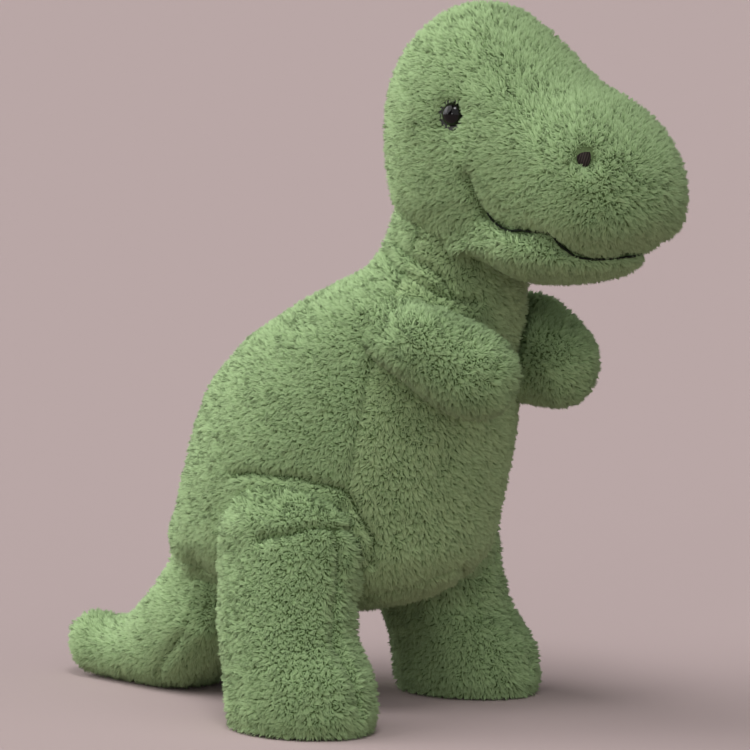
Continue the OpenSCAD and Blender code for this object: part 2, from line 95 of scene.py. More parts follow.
def limb(kind, side):
    """One arm or leg, with one coat over both of its panels."""
    panels = tuple(f"{kind}_{place}_panel_{side}" for place in ("outer", "inner"))
    inside = (f"{kind}_stuffing_{side}",)
    if kind == "leg":
        inside += (f"pellet_bag_{side}", f"sole_{side}")
    return soft_body(inside, **{f"{kind}_{side}": panels})


SOFT = {
    "torso": soft_body(
        ("body_stuffing",), body_left=("body_panel_left",), body_right=("body_panel_right",),
        belly=("belly_panel",)),
    "tail": soft_body(
        ("tail_stuffing",), tail_left=("tail_panel_left",), tail_right=("tail_panel_right",)),
    "head": soft_body(
        ("head_stuffing", "jaw_stuffing"), head_left=("head_panel_left",), head_right=("head_panel_right",),
        jaw=("jaw_panel",)),
    **{f"{kind}_{side}": limb(kind, side) for kind in ("arm", "leg") for side in SIDES},
}

# Lines on the cloth in millimetres: forwards, outwards and upwards from a joint
MOUTH_LINE = (
    (33.5, 31, 10), (40, 31, 6.8), (46.5, 32, 4.6), (53, 31.5, 4.2), (59.5, 31.5, 4), (63.9, 30.5, 2.4),
    (67.4, 28.3, -0.8), (70.3, 25.4, -3.7), (73.3, 22, -5.8), (78, 14.4, -6.6), (81, 6, -6),
    (81.6, 0, -5.8),
)
CHEEK_LINE = ((28, 37, 25), (29.5, 35, 20), (31, 33, 15), (33, 31, 10))
NECK_FOLD = ((-15, 26, -3), (-5, 30, -8), (4, 30, -11), (10, 28, -15), (14, 26, -22))
LOW_NECK_FOLD = ((-21, 23, -8), (-10, 31, -13), (7, 31, -20), (12, 28, -23), (21, 17, -26))
HIP_LINE = (
    (-24, 13, 0), (-18, 13, 1), (-4, 13, 1), (9, 12, 1), (22, 9, -2), (29, 5, -4), (31, 3, -9),
    (37, -4, -25), (34, -6, -35),
)
THIGH_LINE = ((0, 24, -23), (13, 22, -20), (22, 18, -17), (30, 11, -18), (33, 2, -19), (36, -3, -25))
LEG_LINE = (
    (29.5, 11.5, -17.5), (30, 10.8, -28), (29.3, 10.4, -40), (29.9, 14, -56), (31, 16.4, -63.5),
    (36.3, 15.8, -71), (40.3, 16.4, -76.7), (44, 15.7, -89),
)
CROTCH_LINE = ((19, -14, -53), (31, -22, -49), (45, -32, -42), (51, -44, -38))
TAIL_LINE = ((1, 41, 30), (-9, 36, 11), (-23, 31, -6), (-40, 22, -23))
# Each kind of body's lines, with the joint they start from, their depth, or None for the mouth's, and width
FOLDS = {
    "head": ((MOUTH_LINE, NECK, None, 2.6), (CHEEK_LINE, NECK, None, 2.8)),
    "torso": (
        (NECK_FOLD, NECK, 2.6, 2.2), (LOW_NECK_FOLD, NECK, 2.6, 2.2), (CROTCH_LINE, HIP, 1.6, 2),
        (HIP_LINE, HIP, 2.4, 2.2),
    ),
    "tail": ((TAIL_LINE, TAIL_ROOT, 1.2, 2),),
    "leg": ((THIGH_LINE, HIP, 3, 2.2), (LEG_LINE, HIP, 2.6, 2), (HIP_LINE, HIP, 2.4, 2.2)),
    "arm": (),
}
# How near the cloth a line has to lie to be drawn in
LINE_REACH = 9 * MM
# How far the eyes and the nostrils settle from where they are sewn, in the same directions
SETTLED = {"eye": (0.5, -3.4, 0), "nostril": (0.45, 0, 1.1)}
# Radius round an eye and a nostril that is bare, that the pile parts in and that the cloth sinks in
FACE_SPOTS = {"eye": (2.6 * MM, 8 * MM, 8 * MM), "nostril": (3.3 * MM, 7.5 * MM, 5 * MM)}
# How plainly the seams between panels show in the pile
SEAM_SHOWS = {"torso": 0.75, "leg": 0.3, "arm": 0.5, "head": 0.15, "tail": 0.4}
SEWN_REACH = 6 * MM
SEAM_DEPTH = 1.6 * MM
SEAM_PARTING = 1.5 * MM
# What is stored on the cloth and the locks while the pile grows
STORED = ("tip", "tone", "upright", "pile", "cover", "comb", "zone")
# What the tree that grows the pile is given: settings as they are, all of it, and what isn't a plain number
PILE_NUMBERS = ("Length", "Thickness", "Lean", "Tousle", "Tuft", "Gather")
PILE_INPUTS = ("Geometry", "Coat", "Density", *PILE_NUMBERS, "Seed", "Material")
PILE_INPUT_KINDS = {"Geometry": "Geometry", "Coat": "Int", "Seed": "Int", "Material": "Material"}
# Share of the cloth's spacing that each kind of body is first made at
SPACING = {"torso": 1.0, "leg": 0.55, "head": 0.75, "tail": 0.75, "arm": 0.75}
# How often new, set in and refitted cloth is evened, and the shares of a thin body that it is set in by
NEW_ROUNDS = 8
INSET_ROUNDS = 3
REFIT_ROUNDS = 12
PILE_SHARE = 0.3
INSET_SHARE = 0.4
# Where the seam to the torso starts and ends along a limb, and where the bend across a joint does
SEAM_ZONES = {"tail": (18 * MM, 46 * MM), "arm": (-4 * MM, 22 * MM), "leg": (-3 * MM, 21 * MM)}
BENDS = {"torso": (34 * MM, 4 * MM), "tail": (5 * MM, 45 * MM), "arm": (0, 20 * MM), "leg": (0, 30 * MM)}
# How deep a limb's root is tucked in, from how far off, how flat the rest of it lies and how evenly
TUCK = 4 * MM
TUCK_REACH = 16 * MM
ROOT_LIES = 0.85
ROOT_REACH = 24 * MM
ROOT_DEPTH = 0.5 * MM
SEAT_ROUNDS = {"head": 50, "tail": 4, "arm": 4, "leg": 4}
# How far the head's cloth stays off the neck, and the most that it is moved for that
HEAD_CLEAR = 2.5 * MM
HEAD_SHIFT = 7 * MM
# What stuffing does to the head, in millimetres
CHEEK_DROP = 14
JAW_RISE = 2
BACK_JAW_RISE = 2
JAW_CORNER = (20, 29, -8)
CORNER_WIDTH = 10
CORNER_RISE = 5
CORNER_DRAW = 2
CHEEK_ROUNDS = 26
# What it adds to the paws and the rump
PAW_FILL = 3 * MM
RUMP_FILL = 6.5 * MM
RUMP_WIDTH = 11 * MM
# Whose panels lie on the far side of the hollow between back and tail
RUMP = {"torso": "tail", "tail": "body"}
# How high a foot is flattened, how far its lowest cloth is pressed down and how low cloth may lie
FOOT_HEIGHT = 18 * MM
FOOT_PRESS = 3 * MM
FOOT_LOW = 1.2 * MM
SOLE_INSET = 5 * MM
# The way the pile is brushed on each kind of body, and on the head above and below the mouth
BRUSHED = {"tail": (-1.0, 0, -0.3), "leg": (0.1, 0, -1.0), "torso": (-0.4, 0, -1.0)}
HEAD_BRUSHED = np.array((-1, 0, -0.5))
JAW_BRUSHED = np.array((-0.1, 0, -1))
# How near another body is looked for, and how far inside its cloth the pile ends and is whole
BESIDE = 3 * MM
HIDDEN = (-1.5 * MM, -0.5 * MM)
# How far the pile lies over at a fold and at a seam, and how much brush and length it loses there
FOLD_LEAN = 1.2
SEAM_LEAN = 0.5
BRUSH_LOSS = 0.6
LENGTH_LOSS = 0.4
# Spots, swirls and patches of the pile along one metre
CHANCES = 1000.0
SWIRLS = 90.0
PATCHES = 45.0
# Where a lock's colour is read: the start and span of its tone across the map, its width, its root and tip
TONES = (0.06, 0.88)
LOCK_WIDTH = 0.02
ROOT_AT = 0.04
TIP_AT = 0.96
PILE_FLOOR = 0.2 * MM
# How far the nostrils go in with the cloth, and how the mouth's thread is laid
PAD_SINK = 0.95
THREAD_LIFT = 1.2 * MM
THREAD_POINTS = 6
THREAD_ROUNDS = 12
# How many degrees wide each far lamp looks, and the direction that it shines from
LAMPS = {
    "key": (60, (-0.54, -0.54, 0.64)),
    "rim": (60, (-0.93, -0.25, 0.26)),
    "front": (90, (0.71, -0.41, 0.57)),
    "high": (18, (0.32, -0.38, 0.87)),
    "low": (10, (0.2, -0.97, 0.14)),
}


def number_setting(name, description, default, **more):
    return bpy.props.FloatProperty(name=name, description=description, default=default, **more)


def share_setting(name, description, default):
    return number_setting(name, description, default, subtype="FACTOR", min=0, max=1)


def length_setting(name, description, default):
    """A length whose default is given in millimetres."""
    return number_setting(name, description, default * MM, unit="LENGTH")


def vector_setting(name, description, default, subtype):
    return bpy.props.FloatVectorProperty(
        name=name, description=description, default=default, subtype=subtype, size=3)


def colour_setting(name, description, default):
    return vector_setting(name, description, default, "COLOR")


class ClothSettings(bpy.types.PropertyGroup):
    """How the stuffed cloth is shaped."""

    voxel: length_setting("Spacing", "Spacing of the cloth's points before it is refined", 4)
    pressure: number_setting("Pressure", "How hard the stuffing pushes on the cloth", 4.0)
    frames: bpy.props.IntProperty(
        name="Frames", description="How many frames the cloth swells for", default=20)
    swell: length_setting("Swell", "The most that the stuffing moves the cloth", 2.6)
    pile_room: length_setting("Room for pile", "How far full cloth lies under the tips of its pile", 2.1)
    seam_width: length_setting("Seam width", "How wide a strip of cloth a seam holds down", 3)
    fill: share_setting("Fill", "How full the body is, from slack to tight", 0.8)


class PileSettings(bpy.types.PropertyGroup):
    """The plush pile."""

    length: length_setting("Length", "Length of the pile", 2.9)
    thickness: length_setting("Thickness", "Radius of one lock at its root", 0.415)
    density: number_setting("Density", "Locks on each square millimetre", 3.35)
    lean: number_setting("Lean", "How far the pile is brushed over", 0.35)
    tousle: number_setting("Tousle", "How far neighbouring tufts point apart", 0.9)
    tuft: length_setting("Tuft", "Width of the tufts that locks gather in", 1.6)
    gather: share_setting("Gather", "How far the tips of a tuft meet", 0.6)
    softness: share_setting("Softness", "How far a lock is shaded as the cloth under it is", 0.7)
    seed: bpy.props.IntProperty(name="Seed", description="Where the locks stand", default=7)
    tip: colour_setting("Tips", "Colour of the pile's tips", (0.45, 0.62, 0.315))
    # The roots' colour is darker than the tips' as painted shade deep in the pile.
    root: colour_setting("Roots", "Colour of the pile's roots", (0.215, 0.31, 0.135))
    # Painted light: the belly's tips are lighter than the other tips, though it is the same plush, to
    # brighten the belly that the lamps leave dim.
    belly_lit_tip: colour_setting("Belly tips", "Colour of the belly's tips", (0.53, 0.7, 0.36))
    sole: colour_setting("Soles", "Colour of the soles", (0.14, 0.2, 0.085))


class FaceSettings(bpy.types.PropertyGroup):
    """Eyes, nostrils and mouth."""

    mouth_depth: length_setting("Mouth depth", "How deep the mouth is drawn in", 3)
    thread: length_setting("Thread", "Radius of the mouth's thread", 0.5)
    socket: length_setting("Sockets", "How deep the cloth is drawn in at the eyes", 1.6)
    nostril_sink: length_setting("Nostrils", "How deep the nostrils are drawn in", 3.4)
    eye: colour_setting("Eyes", "Colour of the eyes", (0.003, 0.0025, 0.0025))
    stitch: colour_setting("Stitching", "Colour of the nostrils' thread", (0.03, 0.022, 0.02))
    # The mouth's thread is near black: partly its own colour and partly painted shade of the fold it lies
    # in.
    lip_thread_and_shade: colour_setting("Mouth", "Colour of the mouth's thread", (0.008, 0.012, 0.006))


class StageSettings(bpy.types.PropertyGroup):
    """Floor, lights and camera."""

    floor: colour_setting("Floor", "Colour of the floor", (0.468, 0.3725, 0.3675))
    floor_size: number_setting("Floor size", "Width of the floor", 80.0, unit="LENGTH")
    fill: number_setting("Fill", "Strength of the light from all round", 0.05)
    key: number_setting("Key", "Strength of the broad light from the upper left", 1.65)
    rim: number_setting("Rim", "Strength of the broad light from behind on the left", 1.8)
    front: number_setting("Front", "Strength of the broad light from the right", 1.25)
    high: number_setting("High", "Strength of the upper light that the eyes show", 0.9)
    low: number_setting("Low", "Strength of the lower light that the eyes show", 0.2)
    camera: vector_setting("Camera", "Where the camera stands", (1.0705, -1.4562, 0.317), "TRANSLATION")
    target: vector_setting("Target", "Where the camera looks", (0.0105, -0.0014, 0.1375), "TRANSLATION")
    lens: number_setting("Lens", "Focal length in millimetres", 213.6)


class DinosaurSettings(bpy.types.PropertyGroup):
    """All the settings."""

    cloth: bpy.props.PointerProperty(type=ClothSettings)
    pile: bpy.props.PointerProperty(type=PileSettings)
    face: bpy.props.PointerProperty(type=FaceSettings)
    stage: bpy.props.PointerProperty(type=StageSettings)


class Value:
    """An output of a node, which sums and products of Values add nodes to."""

    def __init__(self, graph, socket):
        self.graph = graph
        self.socket = socket

    def join(self, operation, *others):
        wide = any(isinstance(v, Value) and v.socket.type in ("VECTOR", "RGBA") for v in (self, *others))
        node = self.graph.node(
            "ShaderNodeVectorMath" if wide else "ShaderNodeMath",
            dict(enumerate((self, *others))), operation=operation)
        return Value(self.graph, node.outputs[0])

    def __add__(self, other):
        return self.join("ADD", other)

    __radd__ = __add__

    def __sub__(self, other):
        return self.join("SUBTRACT", other)

    def __rsub__(self, other):
        return self * -1.0 + other

    def __mul__(self, other):
        return self.join("MULTIPLY", other)

    __rmul__ = __mul__

    def __truediv__(self, other):
        return self.join("DIVIDE", other)

    def __rtruediv__(self, other):
        return self.power(-1.0) * other

    def power(self, exponent):
        return self.join("POWER", exponent)

    def same_as(self, other):
        return self.join("COMPARE", other, 0.5)

    def clamped(self):
        return self.join("MINIMUM", 1.0).join("MAXIMUM", 0.0)

    def unit(self):
        return self.join("NORMALIZE")


class Graph:
    """Makes and links the nodes of one tree."""

    def __init__(self, tree):
        self.tree = tree
        tree.nodes.clear()

    def feed(self, socket, value):
        if isinstance(value, Value):
            self.tree.links.new(value.socket, socket)
        elif socket.type == "VECTOR" and isinstance(value, (int, float)):
            socket.default_value = (value, value, value)
        else:
            socket.default_value = value

    def node(self, kind, inputs=None, **settings):
        node = self.tree.nodes.new(kind)
        for key, value in settings.items():
            setattr(node, key, value)
        for key, value in (inputs or {}).items():
            self.feed(node.inputs[key], value)
        return node

    def value(self, kind, inputs=None, out=0, **settings):
        return Value(self, self.node(kind, inputs, **settings).outputs[out])

    def values(self, kind, inputs=None, **settings):
        outputs = self.node(kind, inputs, **settings).outputs
        return {socket.name: Value(self, socket) for socket in outputs if socket.name}

    def attribute(self, name, data_type="FLOAT"):
        return self.value("GeometryNodeInputNamedAttribute", {"Name": name}, data_type=data_type)

    def stored(self, geometry, name, value, data_type="FLOAT"):
        return self.value("GeometryNodeStoreNamedAttribute", {
            "Geometry": geometry, "Name": name, "Value": value,
        }, data_type=data_type, domain="POINT")

    def noise(self, spot, scale, detail=2.0, out=0):
        return self.value("ShaderNodeTexNoise", {"Vector": spot, "Scale": scale, "Detail": detail}, out=out)

    def mixed(self, share, a, b):
        node = self.node("ShaderNodeMix", data_type="RGBA")
        for socket, value in zip((node.inputs[0], node.inputs[6], node.inputs[7]), (share, a, b)):
            self.feed(socket, value)
        return Value(self, node.outputs[2])


def settings():
    return bpy.context.scene.dinosaur


def new_object(name, data):
    obj = bpy.data.objects.new(name, data)
    bpy.context.scene.collection.objects.link(obj)
    return obj


def numbers_of(items, name, each=1, kind=int):
    """The numbers that each of a mesh's points, edges, corners or faces has, in rows if it has several."""
    values = np.zeros(len(items) * each, kind)
    items.foreach_get(name, values)
    return values if each == 1 else values.reshape(-1, each)


def points_of(mesh, what="co"):
    return numbers_of(mesh.vertices, what, 3, float)


def move_points(mesh, points):
    mesh.vertices.foreach_set("co", points.ravel())
    mesh.update()


def tree_of(mesh):
    faces = [tuple(face.vertices) for face in mesh.polygons]
    return BVHTree.FromPolygons(points_of(mesh).tolist(), faces)


def nearest(tree, points):
    """The nearest point of a surface to each point, the surface's normal there and the distance."""
    found = [tree.find_nearest(p) for p in points.tolist()]
    spot, normal = (np.array([f[i] for f in found]) for i in (0, 1))
    return spot, normal, np.array([f[3] for f in found])


def outside_of(tree, points, gap):
    """The distance from a closed surface with a minus sign for the points within it."""
    votes = np.zeros(len(points))
    for way in PROBES:
        for i, point in enumerate(points.tolist()):
            normal = tree.ray_cast(point, way)[1]
            votes[i] += normal is not None and normal.dot(way) > 0
    return np.where(votes > len(PROBES) / 2, -gap, gap)


def length(vectors):
    return np.linalg.norm(vectors, axis=1)


def unit(vectors):
    return vectors / np.maximum(length(vectors), 1e-6)[:, None]


def fade(away, width):
    """1 at no distance and smoothly down to 0 beyond the width."""
    return np.exp(-((away / width) ** 2))


def step(values, low, high):
    """0 at low, 1 at high and smooth between."""
    t = np.clip((values - low) / (high - low), 0, 1)
    return t * t * (3 - 2 * t)


def placed(line, pivot, side):
    """A line on the cloth in metres, on the left with side 1 and on the right with -1."""
    at = np.array(line, float) * MM
    return np.stack([pivot[0] + at[:, 0], side * (abs(pivot[1]) + at[:, 1]), pivot[2] + at[:, 2]], 1)


def off_line(points, line):
    """The way to each point from the nearest place on a line."""
    best = np.full(points.shape, np.inf)
    for a, b in zip(line[:-1], line[1:]):
        d = b - a
        t = np.clip((points - a) @ d / max(d @ d, 1e-12), 0, 1)
        away = points - a - t[:, None] * d
        nearer = length(away) < length(best)
        best[nearer] = away[nearer]
    return best


def kind_of(body):
    return body.partition("_")[0]


def panels_of(body):
    return [panel for group in SOFT[body]["coats"].values() for panel in group]


def soles_of(body):
    return [node for node in SOFT[body]["inside"] if node.startswith("sole")]


def joint_of(body):
    """The place of the joint that a body bends at."""
    kind, _, side = body.partition("_")
    return JOINTS[kind] * (1, SIDES.get(side, 1), 1)


def way_of(body):
    """The direction in which a body runs from the joint that it bends at."""
    kind, _, side = body.partition("_")
    if kind != "arm":
        return np.array((-1.0, 0, 0) if kind == "tail" else (0, 0, -1.0))
    way = node_middle(f"arm_outer_panel_{side}") - joint_of(body)
    return way / np.linalg.norm(way)


def plain_mesh(obj):
    graph = bpy.context.evaluated_depsgraph_get()
    return bpy.data.meshes.new_from_object(obj.evaluated_get(graph))


def finished(obj):
    """Makes a plain mesh of the object as its modifiers leave it."""
    mesh = plain_mesh(obj)
    obj.modifiers.clear()
    old = obj.data
    obj.data = mesh
    bpy.data.meshes.remove(old)


def merged(name, nodes):
    """A new object of merged copies of these nodes."""
    bm = bmesh.new()
    for node in nodes:
        bm.from_mesh(frame["nodes"][node].data)
    bmesh.ops.remove_doubles(bm, verts=bm.verts, dist=0.01 * MM)
    mesh = bpy.data.meshes.new(name)
    bm.to_mesh(mesh)
    bm.free()
    return new_object(name, mesh)


def keep_outer(mesh):
    """Deletes all but the largest connected shell."""
    bm = bmesh.new()
    bm.from_mesh(mesh)
    left = set(bm.verts)
    shells = []
    while left:
        front = [left.pop()]
        shell = list(front)
        while front:
            near = {e.other_vert(v) for v in front for e in v.link_edges} & left
            left -= near
            front = list(near)
            shell += front
        shells.append(shell)
    shells.sort(key=len)
    bmesh.ops.delete(bm, geom=[v for shell in shells[:-1] for v in shell], context="VERTS")
    bm.to_mesh(mesh)
    bm.free()


def edges_of(mesh):
    return numbers_of(mesh.edges, "vertices", 2)


def evened(mesh, values, rounds, share=1.0, regain=0.0):
    """Values at a mesh's points, drawn towards their neighbours' and back again by what is regained."""
    a, b = edges_of(mesh).T
    size = len(values)
    count = np.bincount(np.concatenate([a, b]), minlength=size)
    values = values.copy()
    for i in range(2 * rounds):
        total = [np.bincount(a, column[b], size) + np.bincount(b, column[a], size) for column in values.T]
        mean = np.stack(total, 1) / count[:, None]
        values += (mean - values) * share * (0.5 if i % 2 == 0 else -regain)
    return values


def relax(mesh, rounds, share=1.0, regain=0.52):
    """Evens out the facets, and keeps the volume where as much is regained as is lost."""
    move_points(mesh, evened(mesh, points_of(mesh), rounds, share, regain))


def panel_seams(mesh, panels):
    """Which panel each point of the cloth belongs to, and the way to the point from the nearest seam."""
    points = points_of(mesh)
    far = np.stack([nearest(tree_of(frame["nodes"][panel].data), points)[2] for panel in panels], 1)
    sewn = far.min(1) < SEWN_REACH
    far = evened(mesh, far, 4)
    label = far.argmin(1)
    edges = edges_of(mesh)
    a, b = edges[(label[edges[:, 0]] != label[edges[:, 1]]) & sewn[edges[:, 0]]].T
    before = far[a, label[b]] - far[a, label[a]]
    after = far[b, label[a]] - far[b, label[b]]
    share = before / np.maximum(before + after, 1e-9)
    stitches = points[a] + (points[b] - points[a]) * share[:, None]
    tree = KDTree(len(stitches))
    for i, stitch in enumerate(stitches.tolist()):
        tree.insert(stitch, i)
    tree.balance()
    return label, points - stitches[[tree.find(p)[1] for p in points.tolist()]]


def swell(obj, held, cloth):
    """Presses the stuffing against the cloth, which its seams hold down."""
    start = points_of(obj.data)
    group = obj.vertex_groups.new(name="seams")
    group.add(np.flatnonzero(held).tolist(), 1.0, "REPLACE")
    modifier = obj.modifiers.new("Stuffing", "CLOTH")
    modifier.settings.use_pressure = True
    modifier.settings.uniform_pressure_force = cloth.pressure
    modifier.settings.vertex_group_mass = group.name
    modifier.settings.effector_weights.gravity = 0
    modifier.collision_settings.use_collision = False
    modifier.point_cache.frame_start = 1
    modifier.point_cache.frame_end = cloth.frames
    for at in range(1, cloth.frames + 1):
        bpy.context.scene.frame_set(at)
    finished(obj)
    obj.vertex_groups.clear()
    bpy.context.scene.frame_set(1)
    move = points_of(obj.data) - start
    move *= np.minimum(1, cloth.swell / np.maximum(length(move), 1e-9))[:, None]
    move_points(obj.data, start + move)


def thickness(tree, points, normals):
    """How far it is from each point of a closed surface straight through to its other side."""
    pairs = zip(map(Vector, points), map(Vector, normals))
    far = [tree.ray_cast(p - n * 0.1 * MM, -n)[3] for p, n in pairs]
    return np.array([1.0 if f is None else f for f in far])


def refit(mesh, shell, room):
    """Brings the cloth as a whole to lie as far under the shell as its pile needs."""
    points = points_of(mesh)
    normals = points_of(mesh, "normal")
    under = nearest(shell, points)[2]
    move_points(mesh, points + normals * (evened(mesh, under[:, None], REFIT_ROUNDS) - room[:, None]))


def rooted(body, points):
    """How fully each point of a limb belongs to the seam that joins it to the torso."""
    if body == "head":
        return np.zeros(len(points))
    return 1 - step((points - joint_of(body)) @ way_of(body), *SEAM_ZONES[kind_of(body)])


def seat(mesh, body):
    """Lays a limb's root on the torso, and turns the cloth that faces the torso in under its cloth."""
    points = points_of(mesh)
    tree = tree_of(skin_of("torso").data)
    _, normal, gap = nearest(tree, points)
    outside = outside_of(tree, points, gap)
    facing = -(points_of(mesh, "normal") * normal).sum(1)
    share = step(facing, 0.1, 0.5) * step(-outside, -TUCK_REACH, -TUCK_REACH / 2)
    sink = (np.maximum(outside, 0) + TUCK) * share
    flat = ROOT_LIES * rooted(body, points) * (outside > 0) * (outside < ROOT_REACH)
    sink = np.maximum(sink, (outside + ROOT_DEPTH) * flat)
    if body == "head":
        sink -= np.clip(HEAD_CLEAR - outside, 0, HEAD_SHIFT) * step(-facing, 0, 0.4)
    rounds = SEAT_ROUNDS[kind_of(body)]
    move_points(mesh, points - normal * evened(mesh, sink[:, None], rounds))


def skin_of(body):
    return bpy.data.objects[f"{body}_skin"]


def fill_cheeks(mesh):
    """Lets the cheeks hang over the neck and run on into the jaw."""
    points = points_of(mesh)
    at = (points - NECK) / MM
    # Zones that fade in over a range of millimetres from the neck
    low_cheek = step(52 - at[:, 2], 0, 30) * step(36 - at[:, 0], 0, 14) * step(at[:, 2], -12, 10)
    under_jaw = step(-at[:, 2], 2, 12) * step(at[:, 0], 6, 20)
    rise = under_jaw * (JAW_RISE + BACK_JAW_RISE * step(44 - at[:, 0], 0, 16))
    corner = fade(length(np.abs(at) * (1, 1, 0) + at * (0, 0, 1) - JAW_CORNER), CORNER_WIDTH)
    points[:, 2] += (rise - CHEEK_DROP * low_cheek + CORNER_RISE * corner) * MM
    points[:, 1] -= np.sign(at[:, 1]) * CORNER_DRAW * MM * corner
    move_points(mesh, points)
    at = (points - NECK) / MM
    cheek = step(46 - at[:, 0], 0, 12) * step(at[:, 2], -36, -24) * step(16 - at[:, 2], 0, 12)
    relax(mesh, CHEEK_ROUNDS, (cheek * step(np.abs(at[:, 1]), 6, 14))[:, None], 0)


def fill_paws(mesh, body):
    """Stuffs the upper side of an arm."""
    points = points_of(mesh)
    way = way_of(body)
    up = np.array((0, 0, 1)) - way * way[2]
    at = points - joint_of(body)
    share = step(at @ up, -8 * MM, 8 * MM) * step(at @ way, 0, 18 * MM)
    move_points(mesh, points + up * (PAW_FILL * share)[:, None])


def fill_rump(mesh, neighbour):
    """Fills the hollow between the back and the tail, on either's cloth."""
    points = points_of(mesh)
    at = (points - TAIL_ROOT) / MM
    panels = [frame["nodes"][f"{neighbour}_panel_{side}"].data for side in SIDES]
    far = np.min([nearest(tree_of(panel), points)[2] for panel in panels], 0)
    share = fade(far, RUMP_WIDTH) * step(at[:, 2], 4, 24) * step(-at[:, 0], 4, 14)
    move_points(mesh, points + points_of(mesh, "normal") * (RUMP_FILL * share)[:, None])


def flatten_foot(mesh):
    """Stands a foot flat on the floor."""
    points = points_of(mesh)
    low = points[:, 2].min()
    points[:, 2] -= (low + FOOT_PRESS) * (1 - step(points[:, 2], low, FOOT_HEIGHT))
    points[:, 2] = np.maximum(points[:, 2], FOOT_LOW)
    move_points(mesh, points)


def make_skin(body):
    """Makes the stuffed cloth of one body, held down at its seams and seated on the torso."""
    cloth = settings().cloth
    kind = kind_of(body)
    obj = merged(f"{body}_skin", panels_of(body) + list(SOFT[body]["inside"]))
    remesh = obj.modifiers.new("Remesh", "REMESH")
    remesh.mode = "VOXEL"
    remesh.voxel_size = cloth.voxel * SPACING[kind]
    finished(obj)
    keep_outer(obj.data)
    relax(obj.data, NEW_ROUNDS)
    outer = tree_of(obj.data)
    points = points_of(obj.data)
    seam = length(panel_seams(obj.data, panels_of(body) + soles_of(body))[1])
    normals = points_of(obj.data, "normal")
    thick = thickness(outer, points, normals)
    room = np.minimum(cloth.pile_room, PILE_SHARE * thick)
    inset = np.minimum(room + cloth.swell, INSET_SHARE * thick)
    move_points(obj.data, points - normals * inset[:, None])
    relax(obj.data, INSET_ROUNDS)
    swell(obj, seam < cloth.seam_width, cloth)
    refit(obj.data, outer, room)
    if kind == "head":
        fill_cheeks(obj.data)
    elif kind == "arm":
        fill_paws(obj.data, body)
    elif kind in RUMP:
        fill_rump(obj.data, RUMP[kind])
    refine = obj.modifiers.new("Refine", "SUBSURF")
    refine.levels = refine.render_levels = 2 if kind in ("torso", "head") else 1
    finished(obj)
    if kind == "leg":
        flatten_foot(obj.data)
    if kind != "torso":
        seat(obj.data, body)
    obj.data.materials.append(shaded_backing_material())
    obj.data.shade_smooth()


def finish_skin(obj, body):
    """Makes the cloth move with its body, and hides the nodes that it covers."""
    hold(obj, body)
    inside = [node for node in SOFT[body]["inside"] if node not in soles_of(body)]
    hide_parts(*panels_of(body), *inside)


def hold(obj, body):
    """The piece moves with its body, and bends where the cloth crosses a joint."""
    if body == "head":
        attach(obj, "head")
    elif body == "torso":
        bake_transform(obj, "torso", "head", *bend_of(body))
    else:
        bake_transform(obj, "torso", body, *bend_of(body))


def bend_of(body):
    """Where the bend across a body's joint starts and ends."""
    return [joint_of(body) + way_of(body) * along for along in BENDS[kind_of(body)]]


def brushed(body, points, normals):
    """The way the pile is brushed, along the cloth."""
    kind = kind_of(body)
    if kind == "head":
        low = step(NECK[2] + 8 * MM - points[:, 2], -6 * MM, 6 * MM)[:, None]
        way = HEAD_BRUSHED * (1 - low) + JAW_BRUSHED * low
    else:
        way = np.tile(way_of(body) if kind == "arm" else BRUSHED[kind], (len(points), 1))
    way = way - normals * (way * normals).sum(1)[:, None]
    return way / np.maximum(length(way), 0.3)[:, None]


def node_middle(node):
    low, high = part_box(node)
    return (np.array(low) + np.array(high)) / 2


def face_spot(kind, side):
    """Where an eye or a nostril lies on the pressed cloth."""
    return node_middle(f"{kind}_{side}") + np.array(SETTLED[kind]) * (1, SIDES[side], 1) * MM


def lines_of(body):
    """The folds and sewn lines of a body, each with its depth and width."""
    kind, _, side = body.partition("_")
    mouth = settings().face.mouth_depth
    return [
        (placed(line, joint, hand), depth * MM if depth else mouth, width * MM)
        for hand in ([SIDES[side]] if side else SIDES.values())
        for line, joint, depth, width in FOLDS[kind]
    ]


def drawn_lines(obj, body, seam):
    """Draws in the folds and seams, and says which way the pile parts there."""
    face = settings().face
    points = points_of(obj.data)
    normals = points_of(obj.data, "normal")
    tree = tree_of(obj.data)
    sink = SEAM_SHOWS[kind_of(body)] * SEAM_DEPTH * fade(seam, SEAM_DEPTH)
    parting = np.zeros(points.shape)
    for line, depth, width in lines_of(body):
        spot, _, far = nearest(tree, line)
        away = off_line(points, spot[far < LINE_REACH])
        drawn = fade(length(away), width)
        sink = np.maximum(sink, depth * drawn)
        parting += unit(away) * drawn[:, None]
    if body == "head":
        for side in SIDES:
            for kind, depth in (("eye", face.socket), ("nostril", face.nostril_sink)):
                near = length(points - nearest(tree, face_spot(kind, side)[None])[0])
                sink = np.maximum(sink, depth * fade(near, FACE_SPOTS[kind][2]))
    move_points(obj.data, points - normals * sink[:, None])
    return parting


